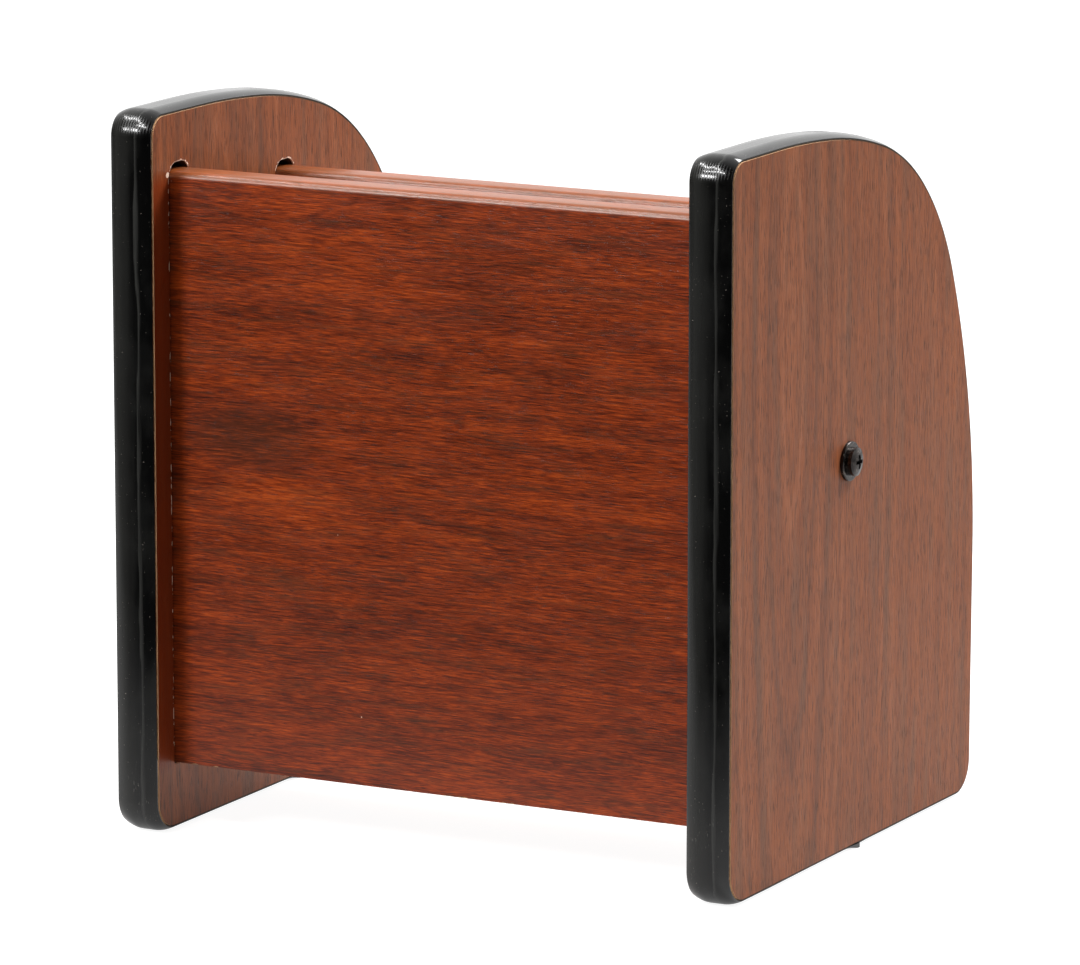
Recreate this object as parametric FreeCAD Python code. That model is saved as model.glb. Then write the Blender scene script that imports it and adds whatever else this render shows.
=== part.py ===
import FreeCAD, Part
import math
import os

# Photo album stand: two upright end panels hold two parallel boards.
# Units are millimetres. +X is to the right, +Y to the back, +Z up.
# The origin is on the surface that the stand rests on, under the middle of its box.
# "Section" means the (y, z) plane in which an end panel or a board has its outline.

# ---- driving dimensions ----------------------------------------------------
inner_width = 200.0          # clear width between the two end panels
panel_thickness = 16.0       # end panel, laminate included
panel_depth = 188.0          # end panel front to back, without its edge trim
panel_height = 244.0         # end panel bottom to top, without its edge trim
laminate_thickness = 0.4     # decorative sheet on each face of an end panel

front_top_radius = 7.0       # corner between the front edge and the top edge
front_foot_radius = 10.0     # lower front corner
back_foot_radius = 10.0      # lower back corner
top_flat_end = 33.0          # distance from the front edge to where the top starts to fall
shoulder_arcs = (            # the falling top and the back: (relative radius, sweep in degrees)
    (4.90, 5.5),
    (2.45, 10.5),
    (1.00, 51.5),
    (2.90, 23.2),
)

core_reveal = 0.5            # bare rim of the core between the laminate and the edge trim
trim_crown = 1.8             # height of the edge trim's rounded face over the core's edge
trim_lip = 0.25              # thickness of the edge trim along its two edges
trim_flat = 4.0              # flat along the middle of the trim's face
trim_inset = 0.3             # the trim is this much narrower than the panel on each face
trim_seam_from_front = 98.0  # place of the butt seam on the underside
trim_seam_gap = 0.6
tongue_thickness = 1.5
tongue_depth = 8.0
tongue_notch = 1.0           # tongue cut back this far each side of a tight corner
barb_rise = 0.3              # each barb stands this far out of the tongue
barb_pitch = 2.2
barb_count = 3
kerf_fit = 0.05              # clearance from a barb's tip to the saw kerf
kerf_end_fit = 0.8           # kerf deeper than the tongue
kerf_corner_land = 1.5       # wood left round the middle of a tight corner

board_height = 203.2
board_thickness = 12.5
foil_thickness = 0.3
board_top_radius = 2.5       # roundover of both upper arrises
front_board_from_front = 10.8
front_board_foot = 21.7      # height of the front board's lower edge over the panel's
rear_board_from_front = 82.3
rear_board_foot = 12.7

groove_depth = 8.0           # measured from the laminate's face
groove_end_fit = 0.5         # between a board's end and the groove's floor
board_fit = 0.25              # between a board's face and the groove's wall
groove_headroom = 2.4        # empty groove over a board's top edge
board_seat_fit = 0.3         # under a board's lower edge
groove_top_radius = 5.0
groove_foot_radius = 0.8
groove_reveal = 0.3          # the laminate stops this far outside the groove

screw_height = 132.5         # over the panel's lower edge
screw_off_middle = 1.2       # the screw enters the rear board this far in front of its middle
screw_length = 30.0          # under the head
screw_root_radius = 1.45
screw_thread_radius = 2.0
screw_thread_pitch = 1.6
screw_point_length = 4.0
screw_plain_length = 10.0    # shank without thread, under the head
screw_head_radius = 4.8
screw_head_height = 3.0
screw_head_dome = 1.1        # part of the head's height that is domed
screw_dome_steps = 6         # the dome is turned as this many cones
recess_width = 1.3           # cross recess: width of a wing at the mouth
recess_span = 5.6
recess_depth = 2.0
recess_floor_share = 1 / 3   # a wing's span at the floor of the recess, as a share of its mouth
recess_cut_past = 0.2        # the recess cutter starts this far outside the head
washer_radius = 6.7
washer_thickness = 1.2
washer_round = 0.45
washer_bore_fit = 0.2
screw_hole_fit = 0.3         # end panel's clearance hole round the shank
pilot_fit = 0.05             # board's hole round the thread
pilot_extra_depth = 2.0

# ---- sizes that follow -----------------------------------------------------
half_inner = inner_width / 2
core_thickness = panel_thickness - 2 * laminate_thickness
panel_middle = half_inner + panel_thickness / 2
panel_outer = half_inner + panel_thickness
floor_shift = core_reveal + trim_crown
board_length = inner_width + 2 * (groove_depth - groove_end_fit)
kerf_half = tongue_thickness / 2 + barb_rise + kerf_fit
kerf_depth = tongue_depth + kerf_end_fit
screw_from_front = rear_board_from_front + board_thickness / 2 - screw_off_middle
UP = 90.0                    # degrees
cut_past = 1.0               # how far a cutter runs past the face that it opens
X_AXIS = FreeCAD.Vector(1, 0, 0)


def point(x, y, z):
    """Turn (x, distance from the panel's front edge, height over its foot) into the frame."""
    return FreeCAD.Vector(x, y - panel_depth / 2, z + floor_shift)


# ---- the outline of an end panel ---------------------------------------------
class Straight:
    """A straight stretch of the outline, from start in the direction of heading."""

    def __init__(self, start, heading, length):
        self.start, self.heading, self.length = start, heading, length
        self.tight = False

    def place(self, along, out):
        """Point at a share of the stretch (0 to 1), moved outwards by out."""
        a = math.radians(self.heading)
        run = self.length * along
        y = self.start[0] + run * math.cos(a) - out * math.sin(a)
        z = self.start[1] + run * math.sin(a) + out * math.cos(a)
        return y, z

    def end(self):
        return self.place(1.0, 0.0)

    def end_heading(self):
        return self.heading

    def edge(self, x, out):
        return Part.makeLine(point(x, *self.place(0, out)), point(x, *self.place(1, out)))


class Bend:
    """A clockwise arc of the outline, tangent to the stretch before it."""

    def __init__(self, start, heading, radius, sweep, tight):
        self.start, self.heading, self.radius, self.sweep = start, heading, radius, sweep
        self.tight = tight
        a = math.radians(heading)
        self.centre = (start[0] + radius * math.sin(a), start[1] - radius * math.cos(a))

    def place(self, along, out):
        a = math.radians(self.heading + UP - self.sweep * along)
        reach = self.radius + out
        return self.centre[0] + reach * math.cos(a), self.centre[1] + reach * math.sin(a)

    def end(self):
        return self.place(1.0, 0.0)

    def end_heading(self):
        return self.heading - self.sweep

    def edge(self, x, out):
        ends = [point(x, *self.place(share, out)) for share in (0, 0.5, 1)]
        return Part.Arc(*ends).toShape()


def shoulder_run():
    """Depth and drop of the shoulder arcs for a unit radius, and the turn past upright."""
    turned, run, drop, deepest = 0.0, 0.0, 0.0, 0.0
    for share, sweep in shoulder_arcs:
        a, b = math.radians(turned), math.radians(turned + sweep)
        if turned + sweep > UP:
            deepest = run + share * (math.sin(math.radians(UP)) - math.sin(a))
        run += share * (math.sin(b) - math.sin(a))
        drop += share * (math.cos(a) - math.cos(b))
        turned += sweep
    return deepest, drop, turned - UP


def panel_outline():
    """All stretches of the end panel's outline, clockwise from its lower front corner."""
    deepest, drop, lean = shoulder_run()
    unit = (panel_depth - top_flat_end) / deepest
    front_run = panel_height - front_foot_radius - front_top_radius
    path = [Straight((0.0, front_foot_radius), UP, front_run)]

    def bend(radius, sweep, tight):
        path.append(Bend(path[-1].end(), path[-1].end_heading(), radius, sweep, tight))

    def straight(length):
        path.append(Straight(path[-1].end(), path[-1].end_heading(), length))

    bend(front_top_radius, UP, True)
    straight(top_flat_end - front_top_radius)
    for share, sweep in shoulder_arcs:
        bend(share * unit, sweep, False)
    lean_angle = math.radians(lean)
    foot_start = back_foot_radius * (1 - math.sin(lean_angle))
    straight((path[-1].end()[1] - foot_start) / math.cos(lean_angle))
    bend(back_foot_radius, UP - lean, True)
    seam_run = path[-1].end()[0] - trim_seam_from_front
    straight(seam_run)
    straight(trim_seam_from_front - front_foot_radius)
    bend(front_foot_radius, UP, True)
    return path


outline = panel_outline()


def outline_slab(x_low, x_high, out):
    """The end panel's outline, moved outwards by out, between two planes of x."""
    wire = Part.Wire([stretch.edge(x_low, out) for stretch in outline])
    return Part.Face(wire).extrude(X_AXIS * (x_high - x_low))


# ---- edge trim: a rounded strip with a barbed tongue -------------------------
def crown_profile():
    """Half-thickness outline of the trim's rounded face: (across, out) points and arcs."""
    half = panel_thickness / 2 - trim_inset
    rise = trim_crown - trim_lip
    reach = half - trim_flat / 2
    radius = (reach ** 2 + rise ** 2) / (2 * rise)
    middle_angle = math.asin(reach / radius) / 2
    knee = (trim_flat / 2 + radius * math.sin(middle_angle),
            trim_crown - radius * (1 - math.cos(middle_angle)))
    return half, knee


def trim_face(stretch, along, with_tongue):
    """Cross section of the trim on the plane across the outline at a share of a stretch."""
    half, knee = crown_profile()

    def at(across, out):
        return point(panel_middle + across, *stretch.place(along, core_reveal + out))

    flat = trim_flat / 2
    right = Part.Arc(at(half, trim_lip), at(*knee), at(flat, trim_crown)).toShape()
    top = Part.makeLine(at(flat, trim_crown), at(-flat, trim_crown))
    left = Part.Arc(at(-flat, trim_crown), at(-knee[0], knee[1]), at(-half, trim_lip)).toShape()
    corners = [(-half, trim_lip), (-half, 0.0)]
    if with_tongue:
        corners += tongue_corners(-1)
        corners += reversed(tongue_corners(1))
    corners += [(half, 0.0), (half, trim_lip)]
    rest = [Part.makeLine(at(*a), at(*b)) for a, b in zip(corners, corners[1:])]
    return Part.Face(Part.Wire([right, top, left] + rest))


def tongue_corners(side):
    """One side of the tongue from its root to its tip, with saw-tooth barbs."""
    half = tongue_thickness / 2
    corners = [(side * half, 0.0)]
    first = -tongue_depth + barb_pitch * barb_count
    for k in range(barb_count):
        root = first - barb_pitch * k
        corners.append((side * half, root))
        corners.append((side * (half + barb_rise), root))
    corners.append((side * half, -tongue_depth))
    return corners


def sweep_section(stretch, section):
    """Carry a cross section along one stretch of the outline."""
    if isinstance(stretch, Straight):
        travel = point(0, *stretch.place(1, 0)) - point(0, *stretch.place(0, 0))
        return section.extrude(travel)
    return section.revolve(point(0, *stretch.centre), X_AXIS, -stretch.sweep)


def cut_back(stretch, start, finish):
    """The same straight stretch, shortened at its start and its finish."""
    share = start / stretch.length
    return Straight(stretch.place(share, 0), stretch.heading, stretch.length - start - finish)


def edge_trim():
    """The whole strip for the right-hand end panel, open at its butt seam."""
    strip = None
    count = len(outline)
    seam_after = [k for k, s in enumerate(outline) if isinstance(s, Straight)][-2]
    for k, stretch in enumerate(outline):
        body = stretch
        if k == seam_after:
            body = cut_back(stretch, 0.0, trim_seam_gap / 2)
        if k == seam_after + 1:
            body = cut_back(stretch, trim_seam_gap / 2, 0.0)
        piece = sweep_section(body, trim_face(body, 0.0, False))
        if not stretch.tight:
            before = tongue_notch if outline[k - 1].tight else 0.0
            after = tongue_notch if outline[(k + 1) % count].tight else 0.0
            root = body
            if isinstance(body, Straight):
                root = cut_back(body, before, after)
            tongue = sweep_section(root, trim_face(root, 0.0, True))
            piece = piece.fuse(tongue)
        strip = piece if strip is None else strip.fuse(piece)
    return strip.removeSplitter()


# ---- end panels --------------------------------------------------------------
def groove_outline(x, from_front, foot, grow):
    """Closed wire of a stopped groove in the (y, z) section, larger all round by grow."""
    low = from_front - board_fit - grow
    high = from_front + board_thickness + board_fit + grow
    bottom = foot - board_seat_fit - grow
    top = foot + board_height + groove_headroom + grow
    upper = groove_top_radius + grow
    lower = groove_foot_radius + grow
    corners = [
        ((high, bottom + lower), (high - upper, top - upper), upper, 0),
        ((high - upper, top), (low + upper, top - upper), upper, 90),
        ((low, top - upper), (low + lower, bottom + lower), lower, 180),
        ((low + lower, bottom), (high - lower, bottom + lower), lower, 270),
    ]
    edges = []
    for start, centre, radius, first in corners:
        turn, middle, finish = [
            (centre[0] + radius * math.cos(math.radians(first + sweep)),
             centre[1] + radius * math.sin(math.radians(first + sweep)))
            for sweep in (0, 45, 90)
        ]
        edges.append(Part.makeLine(point(x, *start), point(x, *turn)))
        edges.append(Part.Arc(point(x, *turn), point(x, *middle), point(x, *finish)).toShape())
    return Part.Wire(edges)


def groove(from_front, foot, grow, depth):
    """Solid that a groove takes out of the right-hand panel's inner side."""
    start = half_inner - cut_past
    wire = groove_outline(start, from_front, foot, grow)
    return Part.Face(wire).extrude(X_AXIS * (depth + cut_past))


def both_grooves(grow, depth):
    front = groove(front_board_from_front, front_board_foot, grow, depth)
    rear = groove(rear_board_from_front, rear_board_foot, grow, depth)
    return [front, rear]


def screw_hole(radius, x_low, x_high):
    centre = point(x_low, screw_from_front, screw_height)
    return Part.makeCylinder(radius, x_high - x_low, centre, X_AXIS)


def kerf_cuts():
    """Saw kerf all round the core's edge, in the middle of its thickness; shallower in tight corners."""
    cuts = []
    for stretch in outline:
        depth = kerf_depth
        if isinstance(stretch, Bend):
            depth = min(depth, stretch.radius + core_reveal - kerf_corner_land)
        corners = [
            point(panel_middle + across, *stretch.place(0, core_reveal + out))
            for across, out in (
                (-kerf_half, cut_past), (kerf_half, cut_past), (kerf_half, -depth), (-kerf_half, -depth))
        ]
        section = Part.Face(Part.makePolygon(corners + corners[:1]))
        cuts.append(sweep_section(stretch, section))
    return cuts


def end_core():
    low = half_inner + laminate_thickness
    core = outline_slab(low, low + core_thickness, core_reveal)
    hole = screw_hole(screw_thread_radius + screw_hole_fit, half_inner, panel_outer)
    return core.cut(both_grooves(0.0, groove_depth) + kerf_cuts() + [hole])


def inner_laminate():
    sheet = outline_slab(half_inner, half_inner + laminate_thickness, 0.0)
    return sheet.cut(both_grooves(groove_reveal, groove_depth))


def outer_laminate():
    sheet = outline_slab(panel_outer - laminate_thickness, panel_outer, 0.0)
    return sheet.cut(screw_hole(screw_thread_radius + screw_hole_fit, half_inner, panel_outer + cut_past))


# ---- boards --------------------------------------------------------------------
def board_outline(x, from_front, foot, skin):
    """Closed wire of a board's section, inside its foil by skin; both upper arrises are round."""
    low, high = from_front + skin, from_front + board_thickness - skin
    top = foot + board_height - skin
    radius = board_top_radius - skin
    s = math.sqrt(0.5)
    shoulder = top - radius
    edges = [
        Part.makeLine(point(x, high, foot), point(x, high, shoulder)),
        Part.Arc(point(x, high, shoulder), point(x, high - radius * (1 - s), shoulder + radius * s),
                 point(x, high - radius, top)).toShape(),
        Part.makeLine(point(x, high - radius, top), point(x, low + radius, top)),
        Part.Arc(point(x, low + radius, top), point(x, low + radius * (1 - s), shoulder + radius * s),
                 point(x, low, shoulder)).toShape(),
        Part.makeLine(point(x, low, shoulder), point(x, low, foot)),
        Part.makeLine(point(x, low, foot), point(x, high, foot)),
    ]
    return Part.Wire(edges)


def board_solid(from_front, foot, skin):
    wire = board_outline(-board_length / 2, from_front, foot, skin)
    return Part.Face(wire).extrude(X_AXIS * board_length)


def pilot_holes():
    """The two holes in the rear board's ends that the screw threads sit in."""
    head_plane = panel_outer + washer_thickness
    tip = head_plane - screw_length - pilot_extra_depth
    radius = screw_thread_radius + pilot_fit
    reach = board_length / 2 + cut_past
    return [screw_hole(radius, tip, reach), screw_hole(radius, -reach, -tip)]


# ---- screw and washer ------------------------------------------------------------
def revolved(corners):
    """Turn a closed list of (x from the panel's face, radius) corners about the screw's axis."""
    def at(x, radius):
        return point(panel_outer + x, screw_from_front, screw_height) + FreeCAD.Vector(0, 0, radius)

    edges = [Part.makeLine(at(*a), at(*b)) for a, b in zip(corners, corners[1:] + corners[:1])]
    face = Part.Face(Part.Wire(edges))
    return face.revolve(at(0, 0), X_AXIS, 360)


def washer():
    """Plain washer with its outer upper arris rounded."""
    bore = screw_thread_radius + washer_bore_fit
    upper, rim = washer_thickness, washer_radius
    ring = revolved([(0, bore), (upper, bore), (upper, rim), (0, rim)])
    top = panel_outer + washer_thickness
    circles = [e for e in ring.Edges if isinstance(e.Curve, Part.Circle)]
    arris = [e for e in circles if e.Curve.Radius > bore and e.CenterOfMass.x > top - washer_round]
    return ring.makeFillet(washer_round, arris)


def cross_recess():
    """Two crossed tapered wings that narrow to a point, sunk in the head's top."""
    top = panel_outer + washer_thickness + screw_head_height
    axis = point(0, screw_from_front, screw_height)
    wings = []
    for along_y in (True, False):
        mouth = recess_span / 2
        rings = []
        for depth, span in ((-recess_cut_past, mouth), (recess_depth, mouth * recess_floor_share)):
            x = top - depth
            wide = recess_width / 2
            reach = [(span, wide), (-span, wide), (-span, -wide), (span, -wide)]
            corners = []
            for a, b in reach:
                y, z = (a, b) if along_y else (b, a)
                corners.append(FreeCAD.Vector(x, axis.y + y, axis.z + z))
            rings.append(Part.makePolygon(corners + corners[:1]))
        wings.append(Part.makeLoft(rings, True, True))
    return wings


def screw():
    """Pan-head screw for the right-hand panel: domed head, plain neck, ringed thread, point."""
    seat = washer_thickness
    top = seat + screw_head_height
    wall = top - screw_head_dome
    sphere = (screw_head_radius ** 2 + screw_head_dome ** 2) / (2 * screw_head_dome)
    corners = [(top, 0.0)]
    reach = math.asin(screw_head_radius / sphere)
    for k in range(1, screw_dome_steps + 1):
        a = reach * k / screw_dome_steps
        corners.append((top - sphere * (1 - math.cos(a)), sphere * math.sin(a)))
    corners[-1] = (wall, screw_head_radius)
    corners.append((seat, screw_head_radius))
    corners.append((seat, screw_root_radius))
    x = seat - screw_plain_length
    thread_end = seat - screw_length + screw_point_length
    while x - screw_thread_pitch > thread_end:
        corners.append((x, screw_root_radius))
        corners.append((x - screw_thread_pitch / 2, screw_thread_radius))
        x -= screw_thread_pitch
    corners.append((x, screw_root_radius))
    corners.append((seat - screw_length, 0.0))
    return revolved(corners).cut(cross_recess())


# ---- build every piece and write it ----------------------------------------------
def mirrored(shape):
    return shape.mirror(FreeCAD.Vector(0, 0, 0), X_AXIS)


def whole_stand():
    """All pieces by node name; the left-hand ones mirror the right-hand ones."""
    right = {
        "end_core": end_core(),
        "end_inner_laminate": inner_laminate(),
        "end_outer_laminate": outer_laminate(),
        "edge_trim": edge_trim(),
        "washer": washer(),
        "screw": screw(),
    }
    nodes = {}
    for name, shape in right.items():
        nodes["right_" + name] = shape
        nodes["left_" + name] = mirrored(shape)
    for name, from_front, foot, holes in (
        ("front_board", front_board_from_front, front_board_foot, []),
        ("rear_board", rear_board_from_front, rear_board_foot, pilot_holes()),
    ):
        core = board_solid(from_front, foot, foil_thickness)
        foil = board_solid(from_front, foot, 0.0).cut(core)
        nodes[name + "_foil"] = foil
        nodes[name + "_core"] = core.cut(holes) if holes else core
    return nodes


os.makedirs("parts", exist_ok=True)
for name, shape in sorted(whole_stand().items()):
    if shape.ShapeType != "Solid" and len(shape.Solids) == 1:
        shape = shape.Solids[0]
    assert shape.isValid(), name
    assert shape.Volume > 0, name
    shape.exportStep("parts/" + name + ".step")
    box = shape.BoundBox
    print(f"{name:28s} solids {len(shape.Solids)} volume {shape.Volume:10.1f}")
    print(f"    x {box.XMin:8.2f} {box.XMax:8.2f}  y {box.YMin:8.2f} {box.YMax:8.2f}")
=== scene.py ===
# %% [markdown]
# # Photo album stand
# Two upright end panels hold two parallel boards, and albums stand between the boards.
# The ends are particle board with a printed wood sheet on both faces and a black plastic
# trim round the edge. The boards are wrapped in a glossier printed foil.
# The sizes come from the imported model, which is loaded first and stays as it is.

# %% Load the frame
import math

import bpy
import numpy as np
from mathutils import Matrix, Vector


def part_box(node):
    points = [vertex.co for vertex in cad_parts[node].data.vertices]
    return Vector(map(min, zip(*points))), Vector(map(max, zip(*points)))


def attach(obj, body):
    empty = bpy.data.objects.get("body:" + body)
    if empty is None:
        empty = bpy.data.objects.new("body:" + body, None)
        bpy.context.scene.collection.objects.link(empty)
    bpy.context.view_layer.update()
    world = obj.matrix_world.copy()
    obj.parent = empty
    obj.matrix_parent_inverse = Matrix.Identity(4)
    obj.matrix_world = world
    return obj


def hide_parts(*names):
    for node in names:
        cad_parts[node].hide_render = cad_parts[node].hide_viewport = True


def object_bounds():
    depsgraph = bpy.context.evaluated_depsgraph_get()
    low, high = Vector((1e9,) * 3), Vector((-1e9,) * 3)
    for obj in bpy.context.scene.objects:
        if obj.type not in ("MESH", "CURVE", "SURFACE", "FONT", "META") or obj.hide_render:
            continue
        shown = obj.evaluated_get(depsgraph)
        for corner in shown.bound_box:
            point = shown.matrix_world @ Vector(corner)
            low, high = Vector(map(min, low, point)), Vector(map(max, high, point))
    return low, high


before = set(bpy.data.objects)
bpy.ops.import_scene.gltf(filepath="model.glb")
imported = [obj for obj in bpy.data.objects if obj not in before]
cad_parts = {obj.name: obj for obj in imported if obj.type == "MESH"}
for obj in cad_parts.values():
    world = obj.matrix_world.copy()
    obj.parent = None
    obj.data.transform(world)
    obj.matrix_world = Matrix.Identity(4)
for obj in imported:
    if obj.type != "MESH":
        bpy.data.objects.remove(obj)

cad_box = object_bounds()
MM = 0.001
print("nodes:", len(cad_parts), "box:", [tuple(round(v / MM, 1) for v in c) for c in cad_box])

# %% [markdown]
# ## Tools for shapes
# Every new piece is a grid: rows are places along the piece, columns go round its section.
# The corners are worked out as whole arrays and handed to the mesh in one go, which is much
# quicker than adding them one by one, and the faces follow from the grid's own numbering.
# Flat shading on a sharp arris and smooth shading elsewhere is decided by the angle.

# %% A grid of corners becomes a piece
SHARP_ANGLE = math.radians(35)      # neighbouring faces that turn more than this meet at an arris


def grid_piece(name, corners, material):
    """corners[row, column] are points of closed rings. Ring k joins ring k + 1; one face closes each end."""
    rows, columns = corners.shape[:2]
    index = np.arange(rows * columns).reshape(rows, columns)
    here, beside = index[:-1], np.roll(index, -1, axis=1)[:-1]
    above, across = index[1:], np.roll(index, -1, axis=1)[1:]
    quads = np.stack([here, beside, across, above], axis=-1).reshape(-1, 4)
    faces = quads.tolist() + [index[0, ::-1].tolist(), index[-1].tolist()]
    mesh = bpy.data.meshes.new(name)
    mesh.from_pydata(corners.reshape(-1, 3), [], faces)
    mesh.materials.append(material)
    mesh.shade_smooth()
    mesh.set_sharp_from_angle(angle=SHARP_ANGLE)
    mesh.update()
    piece = bpy.data.objects.new(name, mesh)
    bpy.context.scene.collection.objects.link(piece)
    print(f"{name}: {rows} rings of {columns} points")
    return piece


# %% Soft random curves
def soft_noise(count, spacing, feature, seed):
    """Random values blurred by a bell of width feature, then scaled to an average square of 1."""
    reach = max(1, int(3 * feature / spacing))
    bell = np.exp(-0.5 * (np.arange(-reach, reach + 1) * spacing / feature) ** 2)
    rough = np.random.default_rng(seed).standard_normal(count + 2 * reach)
    soft = np.convolve(rough, bell, mode="valid")
    return soft / np.sqrt(np.mean(soft ** 2))


# %% [markdown]
# ## Tools for finishes
# A finish is a graph of nodes. Patterns read Object coordinates, which are metres here because
# every piece lies at the origin, so a grain line 1 mm wide is asked for as 1 mm.
# A small class keeps the graph readable: each method adds one node and gives its result.

# %% A finish being mixed
class Recipe:
    """Builds one material. A method's result is a socket that other methods take."""

    def __init__(self, name):
        self.material = bpy.data.materials.new(name)
        self.material.use_nodes = True
        self.tree = self.material.node_tree
        self.shader = self.tree.nodes["Principled BSDF"]
        self.place = self.add("ShaderNodeTexCoord", {}, "Object")

    def add(self, kind, inputs, output=0, **settings):
        """One node: its settings, then each input as a number, a colour or another node's result."""
        node = self.tree.nodes.new(kind)
        for key, value in settings.items():
            setattr(node, key, value)
        for key, value in inputs.items():
            self.feed(node.inputs[key], value)
        return node.outputs[output]

    def feed(self, socket, value):
        """Another node's result is linked to the socket, and anything else is set on it."""
        if isinstance(value, bpy.types.NodeSocket):
            self.tree.links.new(value, socket)
        else:
            socket.default_value = value

    def calc(self, operation, a, b=0.0, clamp=False):
        """One step of arithmetic."""
        return self.add("ShaderNodeMath", {0: a, 1: b}, operation=operation, use_clamp=clamp)

    def squares(self, a, b):
        """a squared plus b squared."""
        return self.calc("ADD", self.calc("POWER", a, 2.0), self.calc("POWER", b, 2.0))

    def offset(self, value, centre, size=1.0):
        """How far a value is from a centre, counted in sizes."""
        away = self.calc("SUBTRACT", value, centre)
        return away if size == 1.0 else self.calc("DIVIDE", away, size)

    def noise(self, size, detail=2.0, roughness=0.5, shift=(0, 0, 0), place=None):
        """Cloudy values round 0.5, with features about size (x, y, z) metres long."""
        scaled = self.add("ShaderNodeMapping", {
            "Vector": place or self.place, "Location": shift, "Scale": [1 / s for s in size]})
        return self.add("ShaderNodeTexNoise", {
            "Vector": scaled, "Scale": 1.0, "Detail": detail, "Roughness": roughness})

    def span(self, value, low, high, out_low=0.0, out_high=1.0):
        """Stretches low..high of a value to out_low..out_high, held at the ends."""
        return self.add("ShaderNodeMapRange", {
            "Value": value, "From Min": low, "From Max": high, "To Min": out_low, "To Max": out_high})

    def ramp(self, value, stops):
        """A colour from a value: stops are (place, red, green, blue)."""
        colour = self.add("ShaderNodeValToRGB", {"Fac": value})
        elements = colour.node.color_ramp.elements
        for place, *_ in stops[2:]:
            elements.new(place)
        for element, (place, *rgb) in zip(elements, stops):
            element.position = place
            element.color = (*rgb, 1.0)
        return colour

    def blend(self, factor, a, b, how="MIX"):
        """Colour a turned into colour b by factor."""
        node = self.tree.nodes.new("ShaderNodeMix")
        node.data_type, node.blend_type = "RGBA", how
        for socket, value in ((0, factor), (6, a), (7, b)):
            self.feed(node.inputs[socket], value)
        return node.outputs[2]

    def bump(self, height, distance, strength=1.0):
        """A surface direction from a height of 0..1 that stands for distance metres."""
        return self.add("ShaderNodeBump", {"Height": height, "Distance": distance, "Strength": strength})

    def split(self, vector=None):
        """The x, y and z of a place."""
        node = self.add("ShaderNodeSeparateXYZ", {"Vector": vector or self.place}).node
        return node.outputs

    def finish(self, **inputs):
        """The finished material, with each named input fed to its shader."""
        for key, value in inputs.items():
            self.feed(self.shader.inputs[key.replace("_", " ")], value)
        return self.material


# %% [markdown]
# ## The boards' foil
# The boards wear a printed foil: dark red-brown with level grain, a clear coat over it.
# Printed grain is layers of the same drawing at different sizes: wide soft bands, streaks a
# millimetre high, hair-fine lines and short dark pores. All of them are noise that is stretched
# along X. A little bending of the coordinates first keeps the lines from being ruler-straight.

# %% Board foil
def soft_spot(recipe, centre, radii):
    """1 at a centre (x, z) fading to 0 at the radii, for a patch at a set place on a board's face."""
    axes = recipe.split()
    across = recipe.offset(axes["X"], centre[0], radii[0])
    up = recipe.offset(axes["Z"], centre[1], radii[1])
    return recipe.span(recipe.squares(across, up), 0.0, 1.0, 1.0, 0.0)


def specks(recipe, spacing=9 * MM, size=0.35 * MM, kept=0.90):
    """Rare pale dots where the print is missing: the middle of one cell in ten of a scattered pattern."""
    cells = recipe.add("ShaderNodeTexVoronoi", {"Vector": recipe.place, "Scale": 1 / spacing}).node
    near = recipe.span(cells.outputs["Distance"], 0.5 * size / spacing, 0.9 * size / spacing, 1.0, 0.0)
    chance = recipe.add("ShaderNodeSeparateColor", {"Color": cells.outputs["Color"]})
    return recipe.calc("MULTIPLY", near, recipe.calc("GREATER_THAN", chance, kept))


def bent_place(recipe, amount, size):
    """Coordinates pushed about by up to amount metres, in clouds of the given size."""
    push = recipe.add("ShaderNodeVectorMath", {
        0: recipe.noise(size).node.outputs["Color"], 1: (0.5, 0.5, 0.5)}, operation="SUBTRACT")
    scaled = recipe.add("ShaderNodeVectorMath", {0: push, "Scale": 2 * amount}, operation="SCALE")
    return recipe.add("ShaderNodeVectorMath", {0: recipe.place, 1: scaled}, operation="ADD")


def layered(recipe, start, layers):
    """start plus each layer's (value - 0.5) times its weight."""
    total = start
    for value, weight in layers:
        centred = recipe.calc("SUBTRACT", value, 0.5)
        total = recipe.calc("ADD", total, recipe.calc("MULTIPLY", centred, weight))
    return total


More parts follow.
